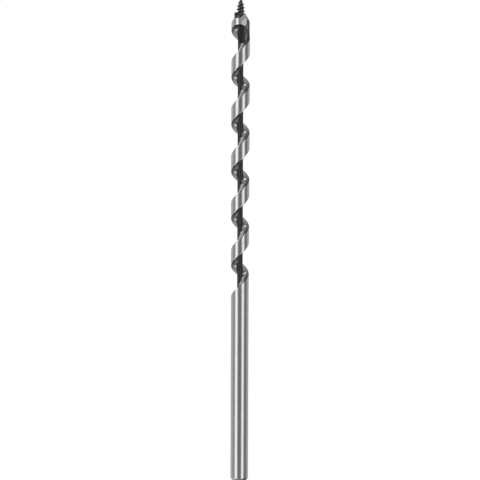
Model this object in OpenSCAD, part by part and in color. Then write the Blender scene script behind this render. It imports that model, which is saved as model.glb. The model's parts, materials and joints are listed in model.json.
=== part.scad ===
// Auger bit for wood, built as an assembly: a round shank, a solid centre stem, a helical flight
// wound on the stem, a cutter head and a screwed-in lead screw.
// Millimetres. Z runs along the bit from the end of the shank to the tip of the lead screw.
// The side with the open throat faces -Y.

/* [Shank] */
// Diameter of the plain round shank, the part that a drill chuck grips
shank_d = 9.3; // [8.8:0.1:9.5]
// Length of the plain round shank, up to the first trace of the flute
shank_length = 86.7; // [60:0.1:110]
// Width of the chamfer round the end of the shank
chamfer_width = 1.1; // [0.5:0.1:1.6]
// Length of the chamfer along the shank
chamfer_length = 1.5; // [0.5:0.1:2.5]
// Depth of the socket for the stem, below the run-out of the flute
shank_socket = 14; // [8:1:20]

/* [Twist] */
// Diameter of the ground land at the head end
twist_d = 9.7; // [9.5:0.1:10.4]
// Length over which the land tapers from the shank to its full diameter
taper_length = 83; // [40:1:120]
// Axial advance of the flight in one turn
pitch = 24.75; // [22:0.25:28]
// Turns of the flight between the shank and the head
flight_turns = 4.9; // [3:0.01:6]
// Arc of the land round the axis, in degrees
land_arc = 123; // [105:1:140]
// Diameter of the centre stem
stem_d = 2.9; // [2.6:0.1:3.2]
// Diameter of the tenons at both ends of the stem
tenon_d = 2; // [1.6:0.1:2.1]
// Bevel at the tips of the tenons
tenon_bevel = 0.3; // [0.1:0.1:0.5]
// Arc by which the flank spreads into its fillet on the stem, in degrees
root_spread = 32; // [22:1:40]
// Height of that fillet over the stem
root_height = 0.8; // [0.6:0.1:1.2]
// Arc over which the flute fades out on the shank, in degrees
run_out_arc = 90; // [70:5:120]

/* [Cutter head] */
// Length of the head from its joint on the flight to the seat of the lead screw
head_length = 12.9; // [12.5:0.1:14.6]
// Height of the throat, from the joint to the crown of its arch
throat_height = 9.7; // [8.6:0.1:10]
// Height of the straight wing beside the throat
wing_height = 5.9; // [4:0.1:7.2]
// Angle from the middle of the open side round to the face of the wing, in degrees
wing_turn = 48.4; // [45:0.2:52]
// Arc between the wing and the crown of the throat, in degrees
crown_arc = 58; // [45:1:70]
// Wall of the hub round the tang of the lead screw
hub_wall = 1.1; // [0.8:0.1:1.4]
// Depth of the socket for the stem
head_socket = 6; // [4:0.5:6.5]
// Half angle of the nose cone, in degrees
nose_angle = 35; // [30:1:42]
// Drop of the nose behind the lip, which gives the lip its clearance
nose_fall = 2.2; // [1.6:0.1:2.4]
// Diameter of the flat seat under the lead screw
seat_d = 7; // [6.9:0.1:7.4]
// Steepness of the ground lip relief, in degrees above level
relief_angle = 65; // [58:1:70]
// Turn of the relief round the axis, in degrees
relief_turn = 5; // [0:1:10]
// Level at which the relief leaves the land, below the seat
relief_drop = 2.4; // [1.6:0.1:2.8]
// Distance of the lip from the middle plane of the bit
lip_offset = 0.45; // [0.2:0.05:0.9]

/* [Lead screw] */
// Outside diameter of the thread at its base
screw_d = 4.6; // [4:0.1:5]
// Length of the threaded point above its collar
screw_length = 8; // [6.5:0.1:10]
// Pitch of the single right-hand thread
screw_pitch = 1.8; // [1.4:0.1:2.2]
// Depth of the thread at its base
thread_depth = 0.78; // [0.5:0.02:1]
// Diameter of the blunt tip
tip_d = 0.28; // [0.2:0.02:0.6]
// Diameter of the collar that seats on the head
collar_d = 6.8; // [6.4:0.1:6.9]
// Height of the collar
collar_height = 2.6; // [2.2:0.1:3.2]
// Diameter of the plain tang inside the head
tang_d = 2.4; // [2:0.1:2.6]
// Length of the tang inside the head
tang_length = 4.3; // [3:0.1:4.8]

/* [Clearances] */
// Radial clearance of the tenons in their sockets and of the stem in the flight
stem_fit = 0.03; // [0.02:0.01:0.06]
// Radial clearance of the tang in its bore
tang_fit = 0.03; // [0.02:0.01:0.06]
// Clearance at the blind ends of the sockets and of the tang bore
end_gap = 0.3; // [0.2:0.1:0.6]

/* [Hidden] */
$fn = 64;
shank_r = shank_d / 2;
twist_r = twist_d / 2;
stem_r = stem_d / 2;
tenon_r = tenon_d / 2;
seat_r = seat_d / 2;
collar_r = collar_d / 2;
screw_r = screw_d / 2;
tang_r = tang_d / 2;
tip_r = tip_d / 2;
socket_r = tenon_r + stem_fit;
flute_arc = 360 - land_arc;
// Levels along the bit, from the shank upwards
run_start = shank_length;
run_end = run_start + pitch * (run_out_arc + flute_arc) / 360;
head_start = run_end + flight_turns * pitch;
seat_level = head_start + head_length;
thread_start = seat_level + collar_height;
tip_level = thread_start + screw_length;
stem_start = run_start - shank_socket;
stem_end = head_start + head_socket;
wing_top = head_start + wing_height;
crown_level = head_start + throat_height;
// The twist is set out from the head: the face of the wing stands where the upper edge of the land
// arrives, and the other edges follow from there down the helix.
wing_face = wing_turn - 90;
flute_full = wing_face - flute_arc - 360 * flight_turns;
// Facets of the curved surfaces
turn_step = 15;
land_points = 9;
solid_points = 30;
screw_points = 28;
head_steps = 9;
// A facetted ring stands just inside the true round that it joins.
ring_sink = 0.01;
// Cuts reach past the faces that they open.
cut_past = 1;

// Angle of the upper edge of the land at a level.
function top_edge(z) = wing_face + 360 * (z - head_start) / pitch;
// Radius of the land at a level: a slow taper from the shank up to the full diameter.
function land_r(z) =
    shank_r + (twist_r - shank_r) * min(1, max(0, (z - run_start) / taper_length));
function polar(r, a, z) = [r * cos(a), r * sin(a), z];
function ease(t) = t * t * (3 - 2 * t);
// The same, from 0 at the first value to 1 at the last one, and held beyond both.
function ease_over(x, first, last) = ease(min(1, max(0, (x - first) / (last - first))));
// Evenly spaced levels from a to b in n steps, without the last one.
function levels(a, b, n) = [for (i = [0 : n - 1]) a + (b - a) * i / n];

// Sides between rings of n points that all run the same way round.
function ring_sides(m, n) = [
    for (i = [0 : m - 2], j = [0 : n - 1])
        let (k = (j + 1) % n)
        each [
            [i * n + j, i * n + n + j, i * n + k],
            [i * n + k, i * n + n + j, i * n + n + k]
        ]
];

// Skin over whole rings; each ring is seen from its own middle.
module round_skin(rings) {
    m = len(rings);
    n = len(rings[0]);
    last = (m - 1) * n;
    middles = [[0, 0, rings[0][0][2]], [0, 0, rings[m - 1][0][2]]];
    foot = [for (j = [0 : n - 1]) [m * n, j, (j + 1) % n]];
    top = [for (j = [0 : n - 1]) [m * n + 1, last + (j + 1) % n, last + j]];
    polyhedron(
        points = concat([for (ring = rings, p = ring) p], middles),
        faces = concat(ring_sides(m, n), foot, top)
    );
}

// Skin over open sections: the first half of each ring is its outer line, the second half the
// inner line at the same angles, so that the two ends close with strips.
module ribbon_skin(rings) {
    m = len(rings);
    n = len(rings[0]);
    last = (m - 1) * n;
    ends = [
        for (j = [0 : n / 2 - 2])
            each [
                [j, j + 1, n - 1 - j],
                [j + 1, n - 2 - j, n - 1 - j],
                [last + j, last + n - 1 - j, last + j + 1],
                [last + j + 1, last + n - 1 - j, last + n - 2 - j]
            ]
    ];
    polyhedron(
        points = [for (ring = rings, p = ring) p],
        faces = concat(ring_sides(m, n), ends)
    );
}

// Shank: a chamfered round bar, then the nose on which the flute fades out, bored for the stem.

// Share of the flute depth that is reached at an angle followed up along the flute.
function fade(a) = ease_over(a, flute_full - run_out_arc, flute_full);
// Columns across the flute: place across its arc, and share of the depth there.
flute_columns = [
    [0.01, 0.72], [0.06, 0.93], [0.16, 1], [0.3, 1], [0.45, 1],
    [0.6, 1], [0.75, 1], [0.86, 1], [0.94, 0.93], [0.99, 0.72]
];
function run_out_ring(z) =
    let (r = land_r(z) - ring_sink, t = top_edge(z))
    concat(
        [for (i = [0 : land_points - 1]) polar(r, t + land_arc * i / (land_points - 1), z)],
        [
            for (c = flute_columns)
                let (depth = c[1] * fade(t - (1 - c[0]) * flute_arc))
                polar(r - (r - stem_r) * depth, t + land_arc + c[0] * flute_arc, z)
        ]
    );

module shank() {
    steps = ceil((run_out_arc + flute_arc) / turn_step);
    color([0.72, 0.72, 0.7])
    difference() {
        union() {
            rotate_extrude()
                polygon([
                    [0, 0], [shank_r - chamfer_width, 0], [shank_r, chamfer_length],
                    [shank_r, run_start], [0, run_start]
                ]);
            round_skin(concat(
                [[for (p = run_out_ring(run_start)) [p[0], p[1], run_start - cut_past]]],
                [for (i = [0 : steps]) run_out_ring(run_start + (run_end - run_start) * i / steps)]
            ));
        }
        translate([0, 0, stem_start - end_gap])
            cylinder(r = socket_r, h = run_end - stem_start + end_gap + cut_past);
    }
}

// Stem: the solid centre of the twist. Its shoulders sit on the shank and under the head, and its
// tenons are set into both.
module stem() {
    color([0.24, 0.23, 0.23])
    rotate_extrude()
        polygon([
            [0, stem_start], [tenon_r - tenon_bevel, stem_start], [tenon_r, stem_start + tenon_bevel],
            [tenon_r, run_end], [stem_r, run_end], [stem_r, head_start], [tenon_r, head_start],
            [tenon_r, stem_end - tenon_bevel], [tenon_r - tenon_bevel, stem_end], [0, stem_end]
        ]);
}

// Flight: a helical ribbon with a broad land outside and filleted flanks that hug the stem.

// Inner radius of the ribbon, so that its flat facets, of up to twice this angle, clear the stem.
facet_half = 10;
hug_r = (stem_r + stem_fit) / cos(facet_half);
// Fillet of one flank, from the stem outwards: share of its height, share of its spread.
fillet = [[0.18, 1], [0.4, 0.45], [1, 0.12]];
flank = [for (f = fillet) [stem_r + f[0] * root_height, land_arc / 2 + f[1] * root_spread]];
function flight_section(r) =
    concat(
        [for (p = flank) [p[0], -p[1]]],
        [for (i = [0 : land_points - 1]) [r, land_arc * (i / (land_points - 1) - 0.5)]],
        [for (i = [len(flank) - 1 : -1 : 0]) flank[i]]
    );
function flight_ring(z) =
    let (s = flight_section(land_r(z)), n = len(s), middle = top_edge(z) + land_arc / 2)
    concat(
        [for (p = s) polar(p[0], middle + p[1], z)],
        [for (i = [n - 1 : -1 : 0]) polar(hug_r, middle + s[i][1], z)]
    );

module flight() {
    steps = ceil(flight_turns * 360 / turn_step);
    color([0.72, 0.72, 0.7])
    ribbon_skin([for (i = [0 : steps]) flight_ring(run_end + (head_start - run_end) * i / steps)]);
}

// Cutter head: the last part of the land, a wing that closes the flute, the throat with its arched
// crown, a nose cone with the seat of the lead screw, and the ground relief of the lip.

// Share of the way that the sides of the throat have closed in at a level, on a quarter circle.
function arch(z) =
    let (t = min(1, max(0, (z - wing_top) / (crown_level - wing_top))))
    1 - sqrt(1 - t * t);
// Narrow seam that is left of the throat at its crown, in degrees, and the height that closes it
crown_seam = 3;
crown_step = 0.1;
// Arc that the underside of the next turn gains on the wing up to a level
function rise(z) = 360 * (min(z, crown_level) - head_start) / pitch;
throat_swing = flute_arc - rise(crown_level) - crown_arc - crown_seam;
function throat_right(z) = wing_face - crown_arc * arch(z);
function throat_left(z) = wing_face - flute_arc + rise(z) + throat_swing * arch(z);
// Drop of the nose below the seat. It falls over one arc behind the lip and stays low round the back.
// On the side of the wing it climbs again over the other arc, and on past the seat in front of the lip.
lip_angle = -90 - asin(lip_offset / twist_r);
fall_arc = [28, 85];
climb_arc = [260, 303];
half_turn = 180;
function nose_drop(a) =
    let (behind = lip_angle - a - 360 * floor((lip_angle - a) / 360))
    nose_fall * (
        behind < half_turn
            ? ease_over(behind, fall_arc[0], fall_arc[1])
            : min(1, (climb_arc[1] - behind) / (climb_arc[1] - climb_arc[0]))
    );
function head_r(a, z) =
    let (edge = seat_level - nose_drop(a))
    max(seat_r, min(twist_r, twist_r - (z - edge) * tan(nose_angle)));
hub_top_r = max(tang_r + hub_wall, stem_r);
function hub_r(z) = stem_r + (hub_top_r - stem_r) * ease_over(z, head_start, crown_level);
// Columns across the throat: place across its arc, and share of the wall that still stands there.
throat_columns = [
    [0.02, 0.45], [0.08, 0.12], [0.22, 0], [0.4, 0], [0.6, 0], [0.78, 0], [0.92, 0.12], [0.98, 0.45]
];
function head_ring(z) =
    let (right = throat_right(z), left = throat_left(z))
    concat(
        [
            for (i = [0 : solid_points - 1])
                let (a = right + (left + 360 - right) * i / (solid_points - 1))
                polar(head_r(a, z), a, z)
        ],
        [
            for (c = throat_columns)
                let (
                    a = left + c[0] * (right - left), r = head_r(a, z),
                    floor_r = z < crown_level ? hub_r(z) : r
                )
                polar(floor_r + (r - floor_r) * c[1], a, z)
        ]
    );

// Wedge that is ground away in front of the lip, from the head and the collar together. Its sloped
// face leaves the land below the seat and leans in over the collar.
module lip_relief() {
    foot = seat_level - relief_drop - cut_past * tan(relief_angle);
    top = thread_start + crown_step;
    inner = (top - seat_level + relief_drop) / tan(relief_angle);
    translate([-lip_offset, -twist_r, 0])
    rotate([0, 0, -relief_turn])
    rotate([90, 0, 90])
        linear_extrude(height = twist_r + lip_offset + cut_past)
            polygon([[-cut_past, foot], [inner, top], [-cut_past, top]]);
}

module cutter_head() {
    color([0.6, 0.61, 0.62])
    difference() {
        round_skin([
            for (z = concat(
                levels(head_start, wing_top, head_steps),
                levels(wing_top, crown_level - crown_step, head_steps),
                [crown_level - crown_step, crown_level],
                levels(crown_level + crown_step, seat_level, head_steps),
                [seat_level]
            )) head_ring(z)
        ]);
        translate([0, 0, head_start - cut_past])
            cylinder(r = socket_r, h = cut_past + head_socket + end_gap);
        translate([0, 0, seat_level - tang_length - end_gap])
            cylinder(r = tang_r + tang_fit, h = end_gap + tang_length + cut_past);
        lip_relief();
    }
}

// Lead screw: a blunt tapered point with a single right-hand thread that flares into its collar,
// and a plain tang below.

// Outline of the thread crest, from the tip downwards.
function crest_r(z) =
    let (t = min(1, max(0, (tip_level - z) / screw_length)))
    max(tip_r, screw_r * (1 - pow(1 - t, 3)));
function root_r(z) = crest_r(z) * (1 - thread_depth / screw_r);
// Share of the thread height round one turn: a narrow flat crest, straight flanks, a flat root.
crest_flat = 0.06;
flank_fall = 1.7;
function thread_wave(a) = max(0, 1 - flank_fall * max(0, abs(a) / 180 - crest_flat));
// The crest passes the -X side this far above the foot of the thread, in turns.
crest_foot = 0.2;
function crest_angle(z) = 180 + 360 * ((z - thread_start) / screw_pitch - crest_foot);
// Share of the collar at a point: the collar fills up all that lies below the last turn of the
// crest, and ends on a slope, both in turns of the thread.
collar_run = 0.5;
collar_slope = 0.33;
function collar_share(a, z) =
    let (crest_turn = (z - thread_start) / screw_pitch + (a < 0 ? a + 360 : a) / 360)
    1 - ease_over(crest_turn, collar_run - collar_slope, collar_run);
// In front of the lip the nose of the head runs on over the collar: it trims the collar on the side of
// the wing, and stands out of it as a shoulder near the lip.
shoulder_end = [105, 155];
function nose_r(a, z) = twist_r - max(0, z - seat_level + nose_drop(a)) * tan(nose_angle);
function ahead_of_lip(a) = a - lip_angle - 360 * floor((a - lip_angle) / 360);
function trimmed_collar_r(a, z) =
    let (share = 1 - ease_over(ahead_of_lip(a), shoulder_end[0], shoulder_end[1]))
    collar_r - max(0, collar_r - nose_r(a, z)) * share;
function screw_ring(z) =
    [
        for (j = [0 : screw_points - 1])
            let (
                a = 360 * j / screw_points - 180, turned = crest_angle(z) + a,
                r = root_r(z) + (crest_r(z) - root_r(z)) * thread_wave(a)
            )
            polar(max(r, r + (trimmed_collar_r(turned, z) - r) * collar_share(a, z)), turned, z)
    ];

// The top edge of the shoulder climbs from its corner at the lip.
corner_height = 0.35;
corner_rise = 0.056;
corner_round = 0.15;
shoulder_points = 22;
// Away from the shoulder its ring hides inside the screw.
hidden_share = 0.7;
function shoulder_ring(z) =
    let (hidden_r = hidden_share * root_r(z))
    concat(
        [
            for (i = [0 : shoulder_points - 1])
                let (
                    ahead = shoulder_end[0] * i / (shoulder_points - 1),
                    over = z - seat_level - corner_height - ahead * corner_rise,
                    share = 1 - ease_over(over, -corner_round, corner_round)
                )
                polar(hidden_r + (nose_r(lip_angle + ahead, z) - hidden_r) * share, lip_angle + ahead, z)
        ],
        [
            for (i = [1 : shoulder_points - 1])
                polar(hidden_r, lip_angle + shoulder_end[0] + (360 - shoulder_end[0]) * i / shoulder_points, z)
        ]
    );

module lead_screw() {
    flare_start = thread_start + screw_pitch * (collar_run - collar_slope - 1);
    flare_end = thread_start + screw_pitch * collar_run;
    flare_steps = 15;
    steps = ceil(screw_length / screw_pitch * 10);
    color([0.3, 0.29, 0.28])
    difference() {
        union() {
            round_skin(concat(
                [for (z = levels(seat_level, flare_start, flare_steps / 3)) screw_ring(z)],
                [for (z = levels(flare_start, flare_end, flare_steps)) screw_ring(z)],
                [for (i = [0 : steps]) screw_ring(flare_end + (tip_level - flare_end) * i / steps)]
            ));
            round_skin([
                for (i = [0 : flare_steps])
                    shoulder_ring(seat_level + collar_height * i / flare_steps)
            ]);
            translate([0, 0, seat_level - tang_length])
                cylinder(r = tang_r, h = tang_length + collar_height / 2);
        }
        lip_relief();
    }
}

shank();
stem();
flight();
cutter_head();
lead_screw();
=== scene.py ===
# %% [markdown]
# # Dressing an auger bit
# An auger bit bores deep, clean holes in wood. A screw point pulls it in, a lip cuts the bottom of the
# hole, and a helical flight lifts the chips out. The solids of the bit are already packed as a frame, and
# this lesson gives them fine meshes, steel finishes, studio light and the camera of the photograph.
# Everything is in metres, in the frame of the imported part: Z runs from the shank's end up to the tip.

# %% Load the frame
import json
import math

import bmesh
import bpy
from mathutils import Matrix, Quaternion, Vector


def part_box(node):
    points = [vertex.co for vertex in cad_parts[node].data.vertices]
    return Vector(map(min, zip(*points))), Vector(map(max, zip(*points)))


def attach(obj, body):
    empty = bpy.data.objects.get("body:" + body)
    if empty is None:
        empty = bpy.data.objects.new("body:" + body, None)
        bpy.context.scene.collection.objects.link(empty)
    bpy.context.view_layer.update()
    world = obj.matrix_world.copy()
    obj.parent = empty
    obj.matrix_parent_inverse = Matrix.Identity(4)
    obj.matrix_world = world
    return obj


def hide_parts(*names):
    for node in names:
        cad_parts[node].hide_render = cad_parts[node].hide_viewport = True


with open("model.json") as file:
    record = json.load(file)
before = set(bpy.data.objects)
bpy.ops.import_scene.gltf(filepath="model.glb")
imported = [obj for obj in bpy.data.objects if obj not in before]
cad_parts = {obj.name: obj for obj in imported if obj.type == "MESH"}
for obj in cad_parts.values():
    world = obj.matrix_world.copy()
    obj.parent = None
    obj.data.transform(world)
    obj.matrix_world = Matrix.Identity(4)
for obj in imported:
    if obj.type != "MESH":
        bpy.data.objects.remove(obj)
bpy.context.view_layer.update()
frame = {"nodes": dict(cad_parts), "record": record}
print("nodes:", sorted(frame["nodes"]))

# %% [markdown]
# ## Sizes
# Most sizes can be read off the frame: a node's box gives its levels and its radius, and the record gives
# the radius of the shank. Only the sizes that no box shows are written here, such as the pitch of the
# twist, as they are in the solid model, so the fine meshes lie on the solids. Only the root, the fillet in
# which a flank runs down to the stem, is a little fuller here. Angles are in degrees.

# %% Sizes
MM = 0.001
run_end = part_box("shank")[1].z
head_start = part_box("flight")[1].z
seat_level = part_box("cutter_head")[1].z
tip_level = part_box("lead_screw")[1].z
tang_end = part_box("lead_screw")[0].z
stem_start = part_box("stem")[0].z
stem_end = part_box("stem")[1].z
stem_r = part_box("stem")[1].x
twist_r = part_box("cutter_head")[1].x
shank_r = frame["record"]["mounts"][0]["dims"]["r_mm"] * MM

pitch = 24.75 * MM
land_arc = 123.0
flute_arc = 360.0 - land_arc
wing_face = -41.6
run_out_arc = 90.0
run_start = run_end - pitch * (run_out_arc + flute_arc) / 360.0
taper_length = 83 * MM
root_spread = 30.0
root_rate = 3.0
root_rest = math.exp(-root_rate)
levels_mm = [round(z / MM, 1) for z in (run_start, head_start, tip_level)]
print("levels in mm of the flute's start, the head and the tip:", levels_mm)


def top_edge(z):
    """Angle of the upper edge of the land at a level, in degrees."""
    return wing_face + 360.0 * (z - head_start) / pitch


def land_radius(z):
    """The land tapers slowly from the shank up to its full radius."""
    share = min(1.0, max(0.0, (z - run_start) / taper_length))
    return shank_r + (twist_r - shank_r) * share


def ease(x, first, last):
    """A smooth step from 0 at the first value to 1 at the last one."""
    t = min(1.0, max(0.0, (x - first) / (last - first)))
    return t * t * (3.0 - 2.0 * t)


# %% [markdown]
# ## Node arithmetic
# Geometry and materials below follow formulas. A node tree for a formula is hard to read when every Math
# node is made by hand, so one small class wraps a socket and lets Python's operators add the nodes. The
# same class serves shader trees and geometry trees, because the Math nodes are the same in both.

# %% A socket with operators
class Wire:
    """One output socket of a node tree, or the bare tree when there is no socket."""

    def __init__(self, tree, socket=None):
        self.tree = tree
        self.socket = socket

    def node(self, kind, settings=None, inputs=None, output=0):
        """Adds a node: its settings come first, then the values or links of its sockets."""
        made = self.tree.nodes.new(kind)
        for name, value in (settings or {}).items():
            setattr(made, name, value)
        for key, value in (inputs or {}).items():
            if isinstance(value, Wire):
                self.tree.links.new(value.socket, made.inputs[key])
            else:
                made.inputs[key].default_value = value
        return Wire(self.tree, made.outputs[output])

    def math(self, operation, *values):
        return self.node("ShaderNodeMath", {"operation": operation}, dict(enumerate(values)))

    def __add__(self, other):
        return self.math("ADD", self, other)

    __radd__ = __add__

    def __mul__(self, other):
        return self.math("MULTIPLY", self, other)

    __rmul__ = __mul__

    def __sub__(self, other):
        return self.math("SUBTRACT", self, other)

    def __rsub__(self, other):
        return self.math("SUBTRACT", other, self)

    def __truediv__(self, other):
        return self.math("DIVIDE", self, other)

    def __rtruediv__(self, other):
        return self.math("DIVIDE", other, self)

    def least(self, other):
        return self.math("MINIMUM", self, other)

    def most(self, other):
        return self.math("MAXIMUM", self, other)

    def over(self, other):
        return self.math("GREATER_THAN", self, other)

    def map(self, first, last, low=0.0, high=1.0, smooth=False):
        """The value's way from first to last, as a way from low to high, held at both ends."""
        kind = "SMOOTHSTEP" if smooth else "LINEAR"
        places = {"Value": self, "From Min": first, "From Max": last, "To Min": low, "To Max": high}
        return self.node("ShaderNodeMapRange", {"interpolation_type": kind}, places)


# %% [markdown]
# ## Camera
# The photograph looks straight at the bit, from a little above its middle, with a long lens, and the bit
# fills the picture from edge to edge. The bit leans by a fifth of a degree there, so the camera is rolled
# by that much. A small downward tilt frames the bit, with no lens shift, so other views stay centred.

# %% Camera
image_px = 480
mm_per_px = 0.5257
eye_distance = 1200 * MM
eye_level = 185 * MM
aim = Vector((0.0, 0.0, 127.21 * MM))
lean = math.radians(0.2)

eye = bpy.data.cameras.new("eye")
eye.sensor_width = 36.0
eye.lens = eye.sensor_width * eye_distance / (image_px * mm_per_px * MM)
eye_object = bpy.data.objects.new("eye", eye)
eye_object.location = (aim.x, -eye_distance, eye_level)
look = (aim - eye_object.location).to_track_quat("-Z", "Y")
eye_object.rotation_mode = "QUATERNION"
eye_object.rotation_quaternion = look @ Quaternion((0.0, 0.0, 1.0), lean)
bpy.context.scene.collection.objects.link(eye_object)
bpy.context.scene.camera = eye_object
print(f"lens {eye.lens:.1f} mm")

# %% [markdown]
# ## Studio
# Bright round steel shows its surroundings as upright bands, so the light is what makes it look like
# steel. The photograph shows two upright strip lamps, left and right of the camera, and darker grey
# between and beside them. The strips are area lamps here: a glowing sheet would look the same in the
# steel, but a lamp gives less grain in the picture.

# %% Studio helpers
square = ((-1, -1), (1, -1), (1, 1), (-1, 1))


def direction(azimuth):
    """A level direction seen from the bit: 0 is towards the camera, and positive is to the right."""
    a = math.radians(azimuth)
    return Vector((math.sin(a), -math.cos(a), 0.0))


def link(name, data):
    made = bpy.data.objects.new(name, data)
    bpy.context.scene.collection.objects.link(made)
    return made


def one_face(name, corners):
    mesh = bpy.data.meshes.new(name)
    mesh.from_pydata(corners, [], [(0, 1, 2, 3)])
    return mesh


def plain_material(name):
    """A new material with an empty tree, and its output node."""
    material = bpy.data.materials.new(name)
    material.use_nodes = True
    material.node_tree.nodes.clear()
    out = material.node_tree.nodes.new("ShaderNodeOutputMaterial")
    return material, Wire(material.node_tree), out


def seen_rays(tree):
    """1 for rays that make the picture: from the camera, in reflections and through glass."""
    camera = tree.node("ShaderNodeLightPath", output="Is Camera Ray")
    glossy = tree.node("ShaderNodeLightPath", output="Is Glossy Ray")
    through = tree.node("ShaderNodeLightPath", output="Is Transmission Ray")
    return camera.most(glossy).most(through)


# %% Strip lamps
strip_distance = 0.75
strip_foot = -0.372
strip_top = 0.628
strip_middle = Vector((0.0, 0.0, (strip_top + strip_foot) / 2.0))
# Azimuth of the middle and spread in degrees, and radiance.
strips = {"left_strip": (-44.4, 32.0, 1.33), "right_strip": (40.6, 30.0, 1.19)}
for name, (azimuth, spread, radiance) in strips.items():
    lamp = bpy.data.lights.new(name, "AREA")
    lamp.shape = "RECTANGLE"
    lamp.size = 2.0 * strip_distance * math.tan(math.radians(spread / 2.0))
    lamp.size_y = strip_top - strip_foot
    lamp.energy = radiance * math.pi * lamp.size * lamp.size_y
    strip = link(name, lamp)
    strip.location = direction(azimuth) * strip_distance + strip_middle
    strip.rotation_euler = (-direction(azimuth)).to_track_quat("-Z", "Y").to_euler()
    strip.visible_camera = False
    print(f"{name}: {lamp.size:.2f} m wide, {lamp.energy:.2f} W")

# %% [markdown]
# ## Cards
# Bright steel needs something to mirror in every direction, or it turns plain white. Grey cards are bent
# round the bit, darker beside the camera and lighter behind the bit. Brighter sheens stand above and below
# the strip lamps, where the sloping flanks of the flight mirror them as light spots. A lid above and one
# below close the ring, and one small panel above the camera lights the facet of the lip. A painted sky
# could do the same, but each card can be moved until its band is in place. All of them show in reflections
# only, as a photographer keeps cards out of the picture.

# %% Grey cards
card_distance = 1.4
card_foot = -3.6
card_top = 3.6
card_step = 5
left_change = 0.459
right_change = -0.291
# First and last azimuth in degrees, foot and top in metres, and grey.
cards = {
    "card_back_left": (-172, -102, card_foot, left_change, 0.63),
    "card_back_left_high": (-172, -102, left_change, card_top, 1.0),
    "card_left": (-102, -68, card_foot, card_top, 0.36),
    "card_front": (-68, 62, card_foot, card_top, 0.19),
    "card_right": (62, 100, card_foot, card_top, 0.2),
    "card_back_right": (100, 172, right_change, card_top, 0.56),
    "card_back_right_low": (100, 172, card_foot, right_change, 0.1),
}


def reflection_only(card, grey):
    """A card that shows in reflections and does nothing else."""
    material, tree, out = plain_material(card.name)
    glow = tree.node("ShaderNodeEmission", inputs={"Color": (grey, grey, grey, 1.0), "Strength": 1.0})
    material.node_tree.links.new(glow.socket, out.inputs["Surface"])
    card.data.materials.append(material)
    card.visible_camera = False
    card.visible_diffuse = False
    card.visible_shadow = False


def upright_card(name, first, last, distance, foot, top, grey):
    """A card bent round the bit from one azimuth to another."""
    steps = max(2, round((last - first) / card_step) + 1)
    feet = [direction(first + (last - first) * i / (steps - 1)) * distance for i in range(steps)]
    points = [p + Vector((0, 0, z)) for z in (foot, top) for p in feet]
    mesh = bpy.data.meshes.new(name)
    mesh.from_pydata(points, [], [(i, i + 1, steps + i + 1, steps + i) for i in range(steps - 1)])
    reflection_only(link(name, mesh), grey)


for name, (first, last, foot, top, grey) in cards.items():
    upright_card(name, first, last, card_distance, foot, top, grey)
print(len(cards), "cards")

# %% Sheens above and below the strips
# The same numbers as for the cards.
sheens = {
    "sheen_left_low": (-68, -37, -2.4, -0.472, 1.7),
    "sheen_left_high": (-68, -37, 0.478, 1.078, 1.5),
    "sheen_right_low": (34, 63, -3.0, -0.522, 0.55),
    "sheen_right_high": (37, 66, 0.878, 1.628, 2.8),
}
for name, (first, last, foot, top, grey) in sheens.items():
    upright_card(name, first, last, strip_distance, foot, top, grey)
print(len(sheens), "sheens")

# %% Lids above and below
lid_levels = {"card_above": 2.2, "card_below": -2.0}
lid_half = 0.95
lid_grey = 0.25
for name, level in lid_levels.items():
    corners = [(x * lid_half, y * lid_half, level) for x, y in square]
    reflection_only(link(name, one_face(name, corners)), lid_grey)
print(len(lid_levels), "lids")

# %% Panel above the camera
panel_pivot = Vector((0.0, 0.0, 0.17))
panel_distance = 1.0
panel_azimuth = -10.0
panel_elevation = math.radians(55.0)
panel_half_width = 0.16
panel_half_height = 0.12
panel_grey = 1.05

level_part = direction(panel_azimuth) * math.cos(panel_elevation)
towards = level_part + Vector((0.0, 0.0, math.sin(panel_elevation)))
aside = direction(panel_azimuth + 90.0)
upright = aside.cross(towards)
centre = panel_pivot + towards * panel_distance
corners = [centre + aside * (x * panel_half_width) + upright * (y * panel_half_height) for x, y in square]
reflection_only(link("panel_above", one_face("panel_above", corners)), panel_grey)
print("panel at", [round(c, 2) for c in centre])

# %% [markdown]
# ## White background
# The photograph has a plain white ground without a shadow line. A white world gives that, at full strength
# where it is seen and weaker as the light on the floor. The floor is a sheet of white paper that partly
# glows for the camera, so that it melts into the world and still keeps a faint shadow.

# %% World and floor
white = (1.0, 1.0, 1.0, 1.0)
world_fill = 0.75
floor_glow = 0.7
floor_white = 1.15
floor_grey = 0.9
floor_half = 6.0

world = bpy.data.worlds.new("studio")
world.use_nodes = True
world.node_tree.nodes.clear()
tree = Wire(world.node_tree)
strength = seen_rays(tree).map(0.0, 1.0, world_fill, 1.0)
shown = tree.node("ShaderNodeBackground", inputs={"Color": white, "Strength": strength})
world_out = world.node_tree.nodes.new("ShaderNodeOutputWorld")
world.node_tree.links.new(shown.socket, world_out.inputs["Surface"])
bpy.context.scene.world = world

floor = link("floor", one_face("floor", [(x * floor_half, y * floor_half, 0.0) for x, y in square]))
material, tree, out = plain_material("floor_paper")
paper = tree.node("ShaderNodeBsdfDiffuse", inputs={"Color": (floor_grey, floor_grey, floor_grey, 1.0)})
glow = tree.node("ShaderNodeEmission", inputs={"Color": white, "Strength": floor_white})
mixed = tree.node("ShaderNodeMixShader", inputs={0: seen_rays(tree) * floor_glow, 1: paper, 2: glow})
material.node_tree.links.new(mixed.socket, out.inputs["Surface"])
floor.data.materials.append(material)
floor.visible_glossy = False
floor.visible_shadow = False
bpy.context.scene.view_settings.view_transform = "Standard"
print("world:", world.name, "and floor:", floor.name)

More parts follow.
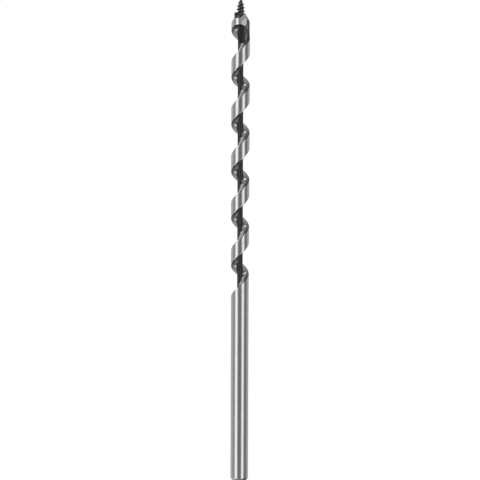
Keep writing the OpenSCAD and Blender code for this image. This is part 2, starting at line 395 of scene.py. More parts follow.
# %% [markdown]
# ## Steel finishes
# The bit has two skins. The shank and the land are ground bright, with fine rings from the grinding wheel.
# The flutes, the stem and the screw keep the black skin of the forge. Both are metal, so their colour is a
# reflectance, and what varies over the surface goes into the colour, the roughness and a very shallow
# bump. All of it is noise in the object's own space, since a picture would need an unwrapped surface.

# %% Finish helpers
noise_roughness = 0.55
noise_detail = 3.0


def metal(name):
    """A metallic material: itself, its tree and a function that feeds the shader's sockets."""
    material, tree, out = plain_material(name)
    shader = material.node_tree.nodes.new("ShaderNodeBsdfPrincipled")
    shader.inputs["Metallic"].default_value = 1.0
    material.node_tree.links.new(shader.outputs[0], out.inputs["Surface"])

    def feed(socket, wire):
        material.node_tree.links.new(wire.socket, shader.inputs[socket])

    return material, tree, feed


def place_of(tree):
    """The place of a point on the object."""
    return tree.node("ShaderNodeTexCoord", output="Object")


def noise(tree, stretch, detail=noise_detail):
    """Noise over the object, stretched by three numbers of cycles a metre."""
    scaled = tree.node("ShaderNodeVectorMath", {"operation": "MULTIPLY"}, {0: place_of(tree), 1: stretch})
    places = {"Vector": scaled, "Scale": 1.0, "Detail": detail, "Roughness": noise_roughness}
    return tree.node("ShaderNodeTexNoise", inputs=places)


def radius_of(tree):
    """Distance of a point from the bit's axis."""
    level_off = {0: place_of(tree), 1: (1.0, 1.0, 0.0)}
    flat = tree.node("ShaderNodeVectorMath", {"operation": "MULTIPLY"}, level_off)
    return tree.node("ShaderNodeVectorMath", {"operation": "LENGTH"}, {0: flat}, output="Value")


def level_of(tree):
    """Height of a point along the bit."""
    return tree.node("ShaderNodeSeparateXYZ", inputs={0: place_of(tree)}, output=2)


def between(tree, share, dark, light):
    """A colour between two others, by a share."""
    places = {"Factor": share, 6: dark, 7: light}
    return tree.node("ShaderNodeMix", {"data_type": "RGBA"}, places, output=2)


def bump(tree, height, depth):
    return tree.node("ShaderNodeBump", inputs={"Height": height, "Distance": depth, "Strength": 1.0})


# %% Ground steel
ring_cycles = (160.0, 160.0, 9000.0)
blotch_cycles = (120.0, 120.0, 60.0)
ground_dark = (0.56, 0.56, 0.55, 1.0)
ground_light = (0.68, 0.68, 0.665, 1.0)
blotch_share = 0.6
ring_share = 0.4
ground_rough = 0.19
ring_rough = 0.08
blotch_rough = 0.04
ring_height = 0.0006 * MM

ground, tree, feed = metal("bright_steel")
grinding = noise(tree, ring_cycles)
blotches = noise(tree, blotch_cycles)
tone = blotches * blotch_share + grinding * ring_share
feed("Base Color", between(tree, tone, ground_dark, ground_light))
feed("Roughness", ground_rough + grinding * ring_rough + blotches * blotch_rough)
feed("Normal", bump(tree, grinding, ring_height))
print("finish:", ground.name)

# %% [markdown]
# ## Black skin
# The black skin is darkest near the stem and lighter further out, and a painted dark reflection
# darkens it again at the rim. On the upper flank it is lighter almost down to the stem, and painted
# shade keeps it dark just under the crown of the throat. The wing has its own dark skin, with painted
# light that makes it lighter towards the tip and a painted highlight line across it, and the screw is a
# plain dark grey. All four differ only in numbers, so one function makes them, from a point's distance
# to the axis and its level along the bit.

# %% Painted highlight line
line_foot = 232.4 * MM
line_top = 235.4 * MM
line_inner = 3.45 * MM
line_outer = 4.6 * MM
line_half = 0.5 * MM
line_fade = 0.6 * MM
line_rim = (4.35 * MM, 4.6 * MM)


def painted_highlight_line(r, level):
    """A painted highlight: a thin light line across the wing, from its foot outwards."""
    off = r - level.map(line_foot, line_top, line_inner, line_outer)
    near = off.most(0.0 - off).map(0.0, line_half, 1.0, 0.0, smooth=True)
    inside = r.map(*line_rim, 1.0, 0.0, smooth=True)
    begun = level.map(line_foot - line_fade, line_foot, smooth=True)
    ended = level.map(line_top, line_top + line_fade, 1.0, 0.0, smooth=True)
    return near * inside * begun * ended


# %% Black forged skin
scale_cycles = (900.0, 900.0, 900.0)
scale_detail = 4.0
scale_grey = 0.1
scale_rough = 0.14
patch_cycles = (220.0, 220.0, 160.0)
patch_least = 0.5
patch_bump = 2.0
skin_bump = 0.03 * MM
painted_dark_rim_share = 0.2
skin_dark = (0.05, 0.047, 0.043, 1.0)
skin_light = (0.44, 0.43, 0.415, 1.0)


def forged(name, greys, lightening_from, rim, roughness, by_level, line_share=0.0):
    """Black skin of the forge: dull and dark near the stem, lighter and smoother further out.

    The pairs lightening_from and rim are radii between which the lighter share sets in and falls again;
    the fall at the rim is a painted dark reflection. by_level has two levels and the factor on the lighter
    share from the second one upwards.
    """
    material, tree, feed = metal(name)
    scale = noise(tree, scale_cycles, scale_detail)
    patches = noise(tree, patch_cycles)
    r = radius_of(tree)
    level = level_of(tree)
    first, last, share_above = by_level
    # Lighter between the two radii; past the rim the share falls again as a painted dark reflection.
    lighter_share = r.map(*lightening_from, smooth=True) * r.map(*rim, 1.0, painted_dark_rim_share, smooth=True)
    # Factor by level: painted shade under the throat's crown, painted light towards the wing's tip.
    lighter_share = lighter_share * level.map(first, last, 1.0, share_above, smooth=True)
    share = lighter_share * (patch_least + patches) + scale * scale_grey
    colour = between(tree, share.least(1.0), *greys)
    # Painted highlight: the line mixes the colour towards the light grey.
    if line_share:
        colour = between(tree, painted_highlight_line(r, level) * line_share, colour, skin_light)
    feed("Base Color", colour)
    lighter_rough, dull_rough = roughness
    feed("Roughness", lighter_share.map(0.0, 1.0, dull_rough, lighter_rough) + (scale - 0.5) * scale_rough)
    feed("Normal", bump(tree, scale + patches * patch_bump, skin_bump))
    return material


# %% The four black skins
skin_greys = (skin_dark, skin_light)
wing_greys = ((0.041, 0.039, 0.036, 1.0), (0.115, 0.11, 0.105, 1.0))
screw_greys = ((0.12, 0.115, 0.11, 1.0), (0.26, 0.25, 0.24, 1.0))
lower_lightening = (1.55 * MM, 2.4 * MM)
upper_lightening = (1.48 * MM, 1.85 * MM)
wing_lightening = (3.1 * MM, 3.7 * MM)
screw_lightening = (0.3 * MM, 2.3 * MM)
# Rims where a painted dark reflection darkens the skin again.
flank_rim = (4.0 * MM, 4.6 * MM)
wing_rim = (4.62 * MM, 4.7 * MM)
no_rim = (8.0 * MM, 9.0 * MM)
# Painted shade just under the crown of the throat: from 238.3 mm up the lighter share falls to 0.15.
crown_painted_shade = (237.6 * MM, 238.3 * MM, 0.15)
# Painted light: the wing's skin gets lighter towards the tip, up to six times the share from 239.5 mm up.
wing_painted_light = (235.0 * MM, 239.5 * MM, 6.0)
# Share of the painted highlight line on the wing.
wing_line = 0.6
black = forged("black_skin", skin_greys, lower_lightening, flank_rim, (0.22, 0.5), crown_painted_shade)
upper_flank_skin = forged("upper_flank_skin", skin_greys, upper_lightening, flank_rim, (0.24, 0.5), crown_painted_shade)
wing_skin = forged("wing_skin", wing_greys, wing_lightening, wing_rim, (0.36, 0.5), wing_painted_light, wing_line)
# The screw lies wholly above these levels, so this factor only makes its skin darker all over.
screw_skin = forged("screw_skin", screw_greys, screw_lightening, no_rim, (0.3, 0.38), crown_painted_shade)
print("finishes:", black.name, upper_flank_skin.name, wing_skin.name, screw_skin.name)

# %% [markdown]
# ## Facet finish
# The facet of the lip is sharpened with a file that is pushed up along the facet, so its strokes run along
# the bit. It is darker than the land and has no rings, so it needs a finish of its own, made as the ground
# steel is, with the noise stretched the other way.

# %% Ground facet of the lip
facet_cycles = (5200.0, 500.0, 500.0)
facet_dark = (0.32, 0.32, 0.315, 1.0)
facet_light = (0.4, 0.4, 0.395, 1.0)
facet_rough = 0.2
stroke_rough = 0.1
stroke_height = 0.001 * MM

facet, tree, feed = metal("lip_facet")
strokes = noise(tree, facet_cycles)
feed("Base Color", between(tree, strokes, facet_dark, facet_light))
feed("Roughness", facet_rough + strokes * stroke_rough)
feed("Normal", bump(tree, strokes, stroke_height))
print("finish:", facet.name)

# %% [markdown]
# ## From a rule to a mesh
# The flight and the screw thread are pure rules: a radius and an angle for each level. Geometry Nodes
# take a flat grid, read each point's place on it, and move the point to where the rule says. The helper
# below gives such a tree its named sizes, runs it once and keeps the plain mesh. Shapes that need many
# special edges, such as the head, are easier as rings of points in Python, so a second helper skins rings.

# %% Helpers for trees of geometry nodes
weld_distance = 0.002 * MM


def rule_tree(name, sizes):
    """A geometry tree with one named input per size, and a wire for each of them."""
    group = bpy.data.node_groups.new(name, "GeometryNodeTree")
    group.interface.new_socket("Geometry", in_out="OUTPUT", socket_type="NodeSocketGeometry")
    for size in sizes:
        group.interface.new_socket(size, in_out="INPUT", socket_type="NodeSocketFloat")
    entry = group.nodes.new("NodeGroupInput")
    print(f"{name}: {len(sizes)} named sizes")
    return Wire(group), {size: Wire(group, entry.outputs[size]) for size in sizes}


def grid_points(tree, along, round_count):
    """A flat grid, and the two shares from 0 to 1 that tell a point's place on it."""
    grid = tree.node("GeometryNodeMeshGrid", inputs={"Vertices X": along, "Vertices Y": round_count})
    place = tree.node("GeometryNodeInputPosition")
    across = tree.node("ShaderNodeSeparateXYZ", inputs={0: place}, output=0) + 0.5
    around = tree.node("ShaderNodeSeparateXYZ", inputs={0: place}, output=1) + 0.5
    return grid, across, around


def polar_point(tree, r, angle, z):
    places = {0: r * tree.math("COSINE", angle), 1: r * tree.math("SINE", angle), 2: z}
    return tree.node("ShaderNodeCombineXYZ", inputs=places)


def kept(tree, geometry, field):
    """Keeps a choice of faces with the grid, because a point's place on the grid is lost once it moves."""
    node = tree.tree.nodes.new("GeometryNodeCaptureAttribute")
    node.domain = "FACE"
    node.capture_items.new("FLOAT", "chosen")
    tree.tree.links.new(geometry.socket, node.inputs[0])
    tree.tree.links.new(field.socket, node.inputs[1])
    return Wire(tree.tree, node.outputs[0]), Wire(tree.tree, node.outputs[1])


def finish_rule(tree, grid, point, base, *others):
    """Moves the grid's points, gives all faces the base material and each choice of faces another one."""
    choices = []
    for chosen, material in others:
        grid, held = kept(tree, grid, chosen)
        choices.append((held.over(0.5), material))
    moved = tree.node("GeometryNodeSetPosition", inputs={"Geometry": grid, "Position": point})
    places = {"Geometry": moved, "Distance": weld_distance}
    closed = tree.node("GeometryNodeMergeByDistance", inputs=places)
    whole = tree.node("GeometryNodeRealizeInstances", inputs={"Geometry": closed})
    done = tree.node("GeometryNodeSetMaterial", inputs={"Geometry": whole, "Material": base})
    for chosen, material in choices:
        places = {"Geometry": done, "Selection": chosen, "Material": material}
        done = tree.node("GeometryNodeSetMaterial", inputs=places)
    out = tree.tree.nodes.new("NodeGroupOutput")
    tree.tree.links.new(done.socket, out.inputs["Geometry"])


# %% Helpers for meshes
twin_distance = 0.001 * MM
sliver_length = 0.0005 * MM
sharp_angle = 35.0
axis_r = 0.05 * MM
turned_steps = 64


def close_and_shade(mesh):
    """Closes open ends, turns the faces outwards and keeps only real corners sharp."""
    work = bmesh.new()
    work.from_mesh(mesh)
    bmesh.ops.remove_doubles(work, verts=work.verts, dist=twin_distance)
    bmesh.ops.dissolve_degenerate(work, edges=work.edges, dist=sliver_length)
    ends = [e for e in work.edges if e.is_boundary]
    bmesh.ops.holes_fill(work, edges=ends)
    bmesh.ops.recalc_face_normals(work, faces=work.faces)
    open_edges = sum(1 for e in work.edges if not e.is_manifold)
    work.to_mesh(mesh)
    work.free()
    mesh.shade_smooth()
    mesh.set_sharp_from_angle(angle=math.radians(sharp_angle))
    print(f"{mesh.name}: {len(mesh.polygons)} faces, {open_edges} open edges")


def make_by_rule(name, tree, sizes):
    """Runs a geometry tree with these sizes and returns a plain mesh object."""
    blank = bpy.data.meshes.new(name)
    carrier = link(name, blank)
    modifier = carrier.modifiers.new(name, "NODES")
    modifier.node_group = tree.tree
    for item in tree.tree.interface.items_tree:
        if item.in_out == "INPUT":
            modifier[item.identifier] = float(sizes[item.name])
    evaluated = carrier.evaluated_get(bpy.context.evaluated_depsgraph_get())
    mesh = bpy.data.meshes.new_from_object(evaluated)
    carrier.modifiers.remove(modifier)
    carrier.data = mesh
    bpy.data.meshes.remove(blank)
    mesh.name = name
    close_and_shade(mesh)
    return carrier


def make_by_rings(name, rings, finishes, finish_of):
    """Skins closed rings of (radius, angle, level) and closes both ends."""
    count = len(rings[0])
    turned = [(r, math.radians(a), z) for ring in rings for r, a, z in ring]
    points = [(r * math.cos(a), r * math.sin(a), z) for r, a, z in turned]
    quads = []
    kinds = []
    for i in range(len(rings) - 1):
        for j in range(count):
            k = (j + 1) % count
            quads.append((i * count + j, i * count + k, (i + 1) * count + k, (i + 1) * count + j))
            kinds.append(finish_of(i, j))
    mesh = bpy.data.meshes.new(name)
    mesh.from_pydata(points, [], quads)
    for finish in finishes:
        mesh.materials.append(finish)
    mesh.polygons.foreach_set("material_index", kinds)
    close_and_shade(mesh)
    return link(name, mesh)


def turned_rings(profile):
    """Rings of a piece turned on a lathe, from the (radius, level) points of its outline."""
    turns = [360.0 * i / turned_steps for i in range(turned_steps)]
    return [[(r, a, z) for a in turns] for r, z in profile]


def spaced(first, last, count):
    """Evenly spaced values from first to last, both included."""
    return [first + (last - first) * i / (count - 1) for i in range(count)]


# %% [markdown]
# ## Flight
# The flight is a ribbon wound round the stem: a broad land outside, and two flanks that run down to the
# stem in a fillet. Its cut at any level is the same, only turned, so one rule makes all of it. Going once
# round the cut, a point climbs the upper flank, crosses the land, comes down the lower flank and goes back
# along the stem. A flank widens towards the stem as an exponential, which is the fillet, and the upper one
# has a second, narrow one at its foot. A drawn profile swept along a helix would do as well, but the land
# tapers towards the shank, and its worn edges and its finishes come from the same rule.

# %% Flight sizes
braze_gap = 0.03 * MM
worn_edge = 0.07 * MM
foot_spread = 22.0
foot_rate = 20.0
sizes = {
    "Foot": run_end,
    "Top": head_start,
    "Pitch": pitch,
    "Turn at top": math.radians(wing_face),
    "Land arc": math.radians(land_arc),
    "Land radius at foot": land_radius(run_end),
    "Land radius at top": land_radius(head_start),
    "Full radius level": run_start + taper_length,
    "Stem radius": stem_r + braze_gap,
    "Root spread": math.radians(root_spread),
    "Root rate": root_rate,
    "Foot spread": math.radians(foot_spread),
    "Foot rate": foot_rate,
    "Edge round": worn_edge,
}
tree, size = rule_tree("flight_rule", sizes)

# %% Flight
flight_rings = 560
flight_points = 91
# Shares of the way round the cut where the upper flank, the land and the lower flank end.
flank_end = 0.3
land_end = 0.62
stem_side = 0.92
edge_power = 40.0
ground_height = 0.95
full_turn = 2.0 * math.pi

grid, along, around = grid_points(tree, along=flight_rings, round_count=flight_points)
z = size["Foot"] + along * (size["Top"] - size["Foot"])
up = around.map(0.0, flank_end)
across = around.map(flank_end, land_end, -1.0, 1.0)
down = around.map(land_end, stem_side, 1.0, 0.0)
back = around.map(stem_side, 1.0, 0.0, 2.0)
height = up.least(down)
on_upper_flank = (flank_end - around).over(0.0)
fallen = tree.math("EXPONENT", 0.0 - size["Root rate"] * height)
foot = size["Foot spread"] * tree.math("EXPONENT", 0.0 - size["Foot rate"] * height)
foot = foot * on_upper_flank.most(0.5 * back)
fillet = size["Root spread"] * (fallen - root_rest) / (1.0 - root_rest) + foot
half_land = size["Land arc"] * 0.5
turned = size["Turn at top"] + (z - size["Top"]) * full_turn / size["Pitch"]
angle = turned + half_land + (across - back) * (half_land + fillet)
radii = (size["Land radius at foot"], size["Land radius at top"])
land = z.map(size["Foot"], size["Full radius level"], *radii)
edge = tree.math("POWER", tree.math("ABSOLUTE", across), edge_power) * size["Edge round"]
radius = size["Stem radius"] + (land - size["Stem radius"] - edge) * height
on_land = height.over(ground_height)
skins = ((on_upper_flank, upper_flank_skin), (on_land, ground))
finish_rule(tree, grid, polar_point(tree, radius, angle, z), black, *skins)
flight = make_by_rule("flight_ribbon", tree, sizes)
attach(flight, "bit")
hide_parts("flight")

# %% [markdown]
# ## Stem
# The stem is the bar in the middle of the twist. It could stay as the solid, but the fine mesh has a round
# that stays smooth in a close view. It has a tenon at each end, set into the shank and the head.

# %% Stem
tenon_r = 1.0 * MM
tenon_bevel = 0.3 * MM
outline = [
    (axis_r, stem_start),
    (tenon_r - tenon_bevel, stem_start),
    (tenon_r, stem_start + tenon_bevel),
    (tenon_r, run_end),
    (stem_r, run_end),
    (stem_r, head_start),
    (tenon_r, head_start),
    (tenon_r, stem_end - tenon_bevel),
    (tenon_r - tenon_bevel, stem_end),
    (axis_r, stem_end),
]
stem = make_by_rings("centre_stem", turned_rings(outline), [black], lambda i, j: 0)
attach(stem, "bit")
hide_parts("stem")

# %% [markdown]
# ## Shank
# The shank is a ground bar with a chamfered end. On its upper nose the flute fades out over a quarter of a
# turn, as the cutter lifted out of the steel there. A bar with a swept hollow cut out of it would show a
# ragged end where the hollow gets shallow. So each ring has the land and the flute as two stretches, and
# the flute's depth grows from nothing to the stem along the helix.

# %% Flute shape
def flank_share(gap, spread):
    """Share of the flank's height that stands at an angle past the land's edge, as on the flight."""
    if gap <= 0.0:
        return 1.0
    left = gap / spread * (1.0 - root_rest) + root_rest
    return min(1.0, max(0.0, -math.log(left) / root_rate))


def flute_places(width, spread, flank_steps, floor_steps):
    """Angles across a flute: close together on both flanks, even along the floor."""
    shares = [math.exp(-root_rate * (1.0 - i / flank_steps)) for i in range(1, flank_steps + 1)]
    edge = [spread * (share - root_rest) / (1.0 - root_rest) for share in shares]
    floor = spaced(spread, width - spread, floor_steps)[1:-1]
    return [0.0] + edge + floor + [width - e for e in reversed(edge)] + [width]


flute = flute_places(flute_arc, root_spread, flank_steps=18, floor_steps=60)
print(len(flute), "points across the flute")

# %% Rings of the shank
chamfer_width = 1.1 * MM
chamfer_length = 1.5 * MM
edge_round = 0.1 * MM
low_edge = 0.4 * edge_round
high_edge = 1.4 * edge_round
socket_r = tenon_r + braze_gap
shank_land_steps = 48
nose_rings = 200
flute_end = top_edge(run_end) - flute_arc


def no_depth(z, gap):
    return 0.0


def run_out_depth(z, gap):
    """Share of the full flute depth at a level and an angle past the land's lower edge."""
    flank = max(flank_share(gap, root_spread), flank_share(flute_arc - gap, root_spread))
    followed = top_edge(z) - flute_arc + gap
    return (1.0 - flank) * ease(followed, flute_end - run_out_arc, flute_end)


def shank_ring(r, z, depth_of):
    start = top_edge(max(z, run_start))
    land = [(r, start + a, z) for a in spaced(0.0, land_arc, shank_land_steps)]
    hollow = [(r - (r - stem_r) * depth_of(z, gap), start + land_arc + gap, z) for gap in flute]
    return land + hollow


def round_ring(r, z, like):
    """A round ring with points at the same angles as another ring."""
    return [(r, a, z) for _, a, _ in like]


plain = [
    (shank_r - chamfer_width - edge_round, 0.0),
    (shank_r - chamfer_width, low_edge),
    (shank_r - edge_round, chamfer_length - high_edge),
    (shank_r, chamfer_length),
    (shank_r, run_start),
]
rings = [shank_ring(r, z, no_depth) for r, z in plain]
for z in spaced(run_start, run_end, nose_rings)[1:]:
    rings.append(shank_ring(land_radius(z), z, run_out_depth))
socket = [round_ring(socket_r, z, rings[-1]) for z in (run_end, stem_start)]
rings = [round_ring(axis_r, 0.0, rings[0])] + rings + socket
print(len(rings), "rings of", len(rings[0]), "points")

# %% Shank
skin_depth = 0.17 * MM


def shank_finish(i, j):
    """Ground outside, and black in the flute from a small depth on."""
    r, _, z = rings[i][j]
    in_flute = z > run_start and j >= shank_land_steps
    return 1 if in_flute and land_radius(z) - r > skin_depth else 0


shank = make_by_rings("round_shank", rings, [ground, black], shank_finish)
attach(shank, "bit")
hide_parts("shank")

# %% [markdown]
# ## Cutter head
# The head ends the flight. A straight wing closes the flute on the right, the throat arches over to the
# left, and above its crown the land carries the cutting lip, with a steep facet ground in front of it and
# a second, upright flat below the facet. The wing is eased back a little between its edges, and only its
# tip is ground. The head could be cut out of a bar with other solids, but then its edges would fall
# between the points. So each ring is set out in four stretches, the throat, a sliver beside it, the wing
# and the land, and all their edges fall on points.

# %% Head sizes
throat_height = 9.7 * MM
wing_height = 5.9 * MM
crown_arc = 58.0
crown_seam = 3.0
hub_top_r = 2.3 * MM
nose_slope = math.tan(math.radians(35.0))
nose_fall = 2.2 * MM
# Angles behind the lip: the nose falls over the run, and comes up again on the wing's side.
nose_run = (28.0, 85.0)
nose_back = 220.0
wing_side_turn = 303.0
wing_side_arc = 43.0
seat_r = 3.5 * MM
lip_offset = 0.45 * MM
lip_angle = -90.0 - math.degrees(math.asin(lip_offset / twist_r))
relief_slope = math.tan(math.radians(65.0))
relief_turn = 5.0
relief_drop = 2.4 * MM
relief_facing = 0.05
front_turn = 20.0
front_reach = 4.55 * MM
front_foot = 239.3 * MM
front_top = 240.2 * MM
front_facing = 0.5
wing_top = head_start + wing_height
crown_level = head_start + throat_height
relief_foot = seat_level - relief_drop
turn_part = math.radians(relief_turn)
relief_reach = twist_r * math.cos(turn_part) + lip_offset * math.sin(turn_part)
throat_swing = flute_arc - 360.0 * throat_height / pitch - crown_arc - crown_seam
print(f"lip at {lip_angle:.1f} degrees")
print(f"crown at {crown_level / MM:.1f} mm, facet from {relief_foot / MM:.1f} mm")

# %% Head shape
def arch(z):
    """Way of the throat's edges over to each other: 0 up to the wing's top, 1 at the crown."""
    t = min(1.0, max(0.0, (z - wing_top) / (crown_level - wing_top)))
    return 1.0 - math.sqrt(1.0 - t * t)


def throat_sides(z):
    """Left and right edge of the throat at a level, in degrees."""
    rise = 360.0 * (min(z, crown_level) - head_start) / pitch
    left = wing_face - flute_arc + rise + throat_swing * arch(z)
    return left, wing_face - crown_arc * arch(z)


def nose_drop(a):
    """How far the nose has fallen at an angle: slowly behind the lip, steeply on the wing's side."""
    behind = (lip_angle - a) % 360.0
    if behind < nose_back:
        return nose_fall * ease(behind, *nose_run)
    return nose_fall * min(1.0, (wing_side_turn - behind) / wing_side_arc)


def head_radius(a, z):
    """The round of the head, and the cone of its nose."""
    edge = seat_level - nose_drop(a)
    return max(seat_r, min(twist_r, twist_r - (z - edge) * nose_slope))


def relief_radius(a, z):
    """Distance from the axis to the ground facet, for angles in front of the lip."""
    facing = math.sin(math.radians(a + relief_turn))
    if z < relief_foot or facing >= -relief_facing:
        return twist_r
    return (relief_reach - (z - relief_foot) / relief_slope) / -facing


def front_radius(a, z):
    """Distance from the axis to a second, upright flat below the facet."""
    facing = math.cos(math.radians(a + 90.0 - front_turn))
    if z < front_foot or facing < front_facing:
        return twist_r
    return (twist_r + (front_reach - twist_r) * ease(z, front_foot, front_top)) / facing


def front_cut(a, z):
    return min(head_radius(a, z), relief_radius(a, z), front_radius(a, z))


# %% Rings of the head
throat_edge = [0.0, 0.004, 0.01, 0.02, 0.035, 0.055, 0.08, 0.12, 0.17]
throat_middle = spaced(0.22, 0.78, 32)
throat_places = throat_edge + throat_middle + [1.0 - t for t in reversed(throat_edge)]
throat_fillet = 22.0
fillet_share = 0.3
sliver_steps = 16
wing_steps = 110
land_steps = 110
facet_arc = 50.0
facet_end = lip_angle + facet_arc
wing_relief = 0.15 * MM
wing_relief_arc = 4.0


def throat_radius(t, width, a, z):
    """Radius across the throat: both flanks, and the hub between them."""
    spread = min(throat_fillet, fillet_share * width)
    stands = max(flank_share(t * width, spread), flank_share((1.0 - t) * width, spread))
    hub = stem_r + (hub_top_r - stem_r) * ease(z, head_start, crown_level)
    return hub + (head_radius(a, z) - hub) * stands


def head_ring(z):
    """One ring in four stretches; above the crown the throat's edges move on to the facet's."""
    left, right = throat_sides(z)
    upper = top_edge(z)
    open_throat = z < crown_level
    if not open_throat:
        share = ease(z, crown_level, relief_foot)
        left += (lip_angle - left) * share
        right += (facet_end - right) * share
    ring = []
    for t in throat_places:
        a = left + t * (right - left)
        r = throat_radius(t, right - left, a, z) if open_throat else front_cut(a, z)
        ring.append((r, a, z))
    for a in spaced(right, max(right, wing_face), sliver_steps):
        ring.append((front_cut(a, z), a, z))
    for a in spaced(wing_face, max(wing_face, upper), wing_steps):
        inset = wing_relief * ease(min(a - wing_face, upper - a), 0.0, wing_relief_arc)
        ring.append((min(head_radius(a, z), relief_radius(a, z)) - inset, a, z))
    for a in spaced(max(wing_face, upper), left + 360.0, land_steps):
        ring.append((head_radius(a, z), a, z))
    return ring


# %% Levels and bores of the head
wing_rings = 36
arch_rings = 48
crown_rings = 12
relief_rings = 48
crown_step = 0.01 * MM
end_gap = 0.3 * MM
tang_bore_r = 1.23 * MM
arch_height = crown_level - wing_top
arch_levels = [wing_top + arch_height * math.sin(q) for q in spaced(0.0, math.pi / 2, arch_rings)]
levels = spaced(head_start, wing_top, wing_rings)[:-1] + arch_levels[:-1]
levels += [crown_level - crown_step, crown_level] + spaced(crown_level, relief_foot, crown_rings)[1:]
levels += spaced(relief_foot, seat_level, relief_rings)[1:]
rings = [head_ring(z) for z in levels]
socket = [round_ring(socket_r, z, rings[0]) for z in (stem_end + end_gap, head_start)]
tang_bore = [round_ring(tang_bore_r, z, rings[-1]) for z in (seat_level, tang_end - end_gap)]
rings = socket + rings + tang_bore
print(len(rings), "rings of", len(rings[0]), "points")

# %% Cutter head
throat_end = len(throat_places)
left_flank_end = throat_end // 3
sliver_end = throat_end + sliver_steps
wing_end = sliver_end + wing_steps
worn_columns = 3
bevel_height = 2.4 * MM
bevel_depth = 0.6 * MM
wing_tip = 242.6 * MM
in_ground, in_black, in_facet, in_wing = range(4)


def head_finish(i, j):
    """The finish of a face by its stretch of the ring and its level."""
    r, a, z = rings[i][j]
    if i < len(socket):
        return in_black
    if i >= len(rings) - 1 - len(tang_bore):
        return in_ground
    if sliver_end <= j < wing_end:
        if z > wing_tip:
            return in_ground
        worn = z < wing_top and j < sliver_end + worn_columns
        return in_facet if worn else in_wing
    if j < throat_end and z < crown_level:
        if z > crown_level - bevel_height and r > twist_r - bevel_depth:
            return in_facet
        return in_black if j < left_flank_end else in_wing
    in_front = j < sliver_end and (a - lip_angle) % 360.0 < 180.0
    return in_facet if in_front and z > front_foot else in_ground


head = make_by_rings("cutting_head", rings, [ground, black, facet, wing_skin], head_finish)
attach(head, "bit")
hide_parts("cutter_head")

# %% [markdown]
# ## Lead screw
# The lead screw is a tapered point with one right-hand thread that runs out of a round collar. Its radius
# at a level and an angle is again a rule, so a second grid is bent into it. The collar's top follows the
# thread round as a short cone. In front of the lip the collar carries on the ground shoulder and the facet
# of the head, by the same cone and the same plane, and at the lip it steps back: there the first two
# columns of the grid stand at one angle.

# %% Screw sizes
collar_height = 2.6 * MM
sizes = {
    "Seat": seat_level,
    "Thread start": seat_level + collar_height,
    "Tip": tip_level,
    "Thread pitch": 1.8 * MM,
    "Thread radius": 2.3 * MM,
    "Thread depth": 0.78 * MM,
    "Tip radius": 0.14 * MM,
    "Collar radius": 3.4 * MM,
    "Relief reach": relief_reach,
    "Relief foot": relief_foot,
    "Relief slope": relief_slope,
    "Relief turn": math.radians(relief_turn),
    "Lip angle": math.radians(lip_angle),
    "Land radius": twist_r,
    "Nose slope": nose_slope,
    "Nose fall": nose_fall,
}
tree, size = rule_tree("screw_rule", sizes)

# %% Thread and collar
screw_rings = 264
screw_columns = 362
lip_step = 1.0 / (screw_columns - 1)
# The flat of the crest, in half turns, and the fall of the flanks beside it.
crest_flat = 0.06
flank_fall = 1.7
# Where the thread begins and where the collar ends, in turns of the thread.
crest_foot = 0.2
collar_run = 0.5
collar_slope = 0.33
collar_cone = math.radians(40.0)

grid, along, around = grid_points(tree, along=screw_rings, round_count=screw_columns)
z = size["Seat"] + along * (size["Tip"] - size["Seat"])
turn = (z - size["Thread start"]) / size["Thread pitch"]
ahead = around.map(lip_step, 1.0, 0.0, full_turn)
angle = size["Lip angle"] + ahead
slim = z.map(size["Thread start"], size["Tip"])
crest = (size["Thread radius"] * (1.0 - slim * slim * slim)).most(size["Tip radius"])
root = crest * (1.0 - size["Thread depth"] / size["Thread radius"])
phase = tree.math("WRAP", angle - (math.pi + (turn - crest_foot) * full_turn), math.pi, -math.pi)
wave = 1.0 - flank_fall * (tree.math("ABSOLUTE", phase) / math.pi - crest_flat).most(0.0)
thread = root + (crest - root) * wave.most(0.0)
crest_turn = turn + tree.math("WRAP", phase, full_turn, 0.0) / full_turn
this_turn = turn + phase / full_turn
collar_above = crest_turn.map(collar_run - collar_slope, collar_run, 1.0, 0.0, smooth=True)
collar_below = this_turn.map(collar_run - collar_slope, collar_run, 1.0, 0.0, smooth=True)
collar = collar_above + (collar_below - collar_above) * phase.map(-collar_cone, 0.0, smooth=True)
radius = thread + (size["Collar radius"] - thread) * collar

# %% Ground shoulder of the screw
shoulder_end = (105.0, 155.0)
shoulder_over = 0.1 * MM
# The shoulder's upper corner starts at this level at the lip, and rises by this much a degree.
corner_level = seat_level + 0.35 * MM
corner_rise = 0.056 * MM
corner_blend = 0.12 * MM

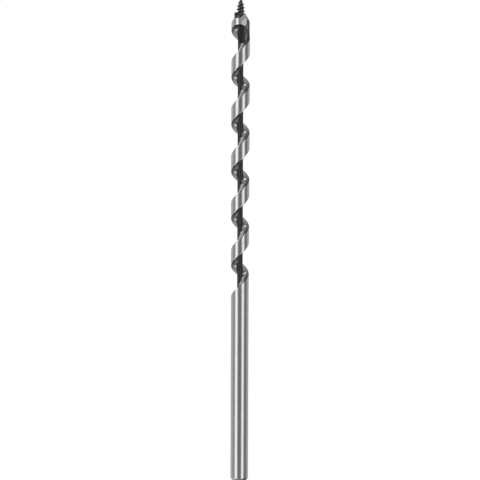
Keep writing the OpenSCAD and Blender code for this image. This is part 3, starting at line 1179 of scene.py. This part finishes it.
ahead_degrees = ahead * (180.0 / math.pi)
fallen = size["Nose fall"] * ((ahead_degrees + (wing_side_turn - 360.0)) / wing_side_arc).least(1.0)
nose = size["Land radius"] - (z - size["Seat"] + fallen) * size["Nose slope"]
nose = nose.least(size["Land radius"])
below_corner = (corner_level + ahead_degrees * corner_rise - z).map(0.0, corner_blend)
below_thread = (size["Thread start"] + shoulder_over).over(z)
before_lip = around.over(0.5 * lip_step) * (math.pi - ahead).over(0.0)
in_front = before_lip * below_corner * below_thread
shoulder = in_front * ahead_degrees.map(*shoulder_end, 1.0, 0.0, smooth=True)
radius = radius + (nose.most(thread) - radius) * shoulder

# %% Facet and finishes of the screw
collar_dark = 1.6 * MM

facing = 0.0 - tree.math("SINE", angle + size["Relief turn"])
facet_reach = size["Relief reach"] - (z - size["Relief foot"]) / size["Relief slope"]
over_facet = (radius - facet_reach / facing.most(relief_facing)).most(0.0)
over_facet = over_facet * facing.over(relief_facing)
radius = radius - over_facet * in_front
past_step = around.over(lip_step)
on_collar = collar.most((size["Seat"] + collar_dark).over(z)).over(0.5)
on_shoulder = shoulder.over(0.5) * past_step
on_facet = over_facet.over(0.0) * in_front.over(0.5) * past_step
skins = ((on_collar, wing_skin), (on_shoulder, ground), (on_facet, facet))
finish_rule(tree, grid, polar_point(tree, radius, angle, z), screw_skin, *skins)
screw = make_by_rule("screw_point", tree, sizes)

# %% [markdown]
# ## Tang
# The tang holds the screw in the head. It is out of sight at rest and shows when the screw is drawn, so it
# is a plain turned piece at the thread's mean size. Its upper end reaches a little way into the collar, so
# that no gap can show between the two.

# %% Tang
tang_r = 1.2 * MM
tang_bevel = 0.25 * MM
tang_top = seat_level + 0.3 * MM
outline = [
    (axis_r, tang_end),
    (tang_r - tang_bevel, tang_end),
    (tang_r, tang_end + tang_bevel),
    (tang_r, tang_top),
    (axis_r, tang_top),
]
tang = make_by_rings("screw_tang", turned_rings(outline), [screw_skin], lambda i, j: 0)
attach(screw, "screw_point")
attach(tang, "screw_point")
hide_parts("lead_screw")
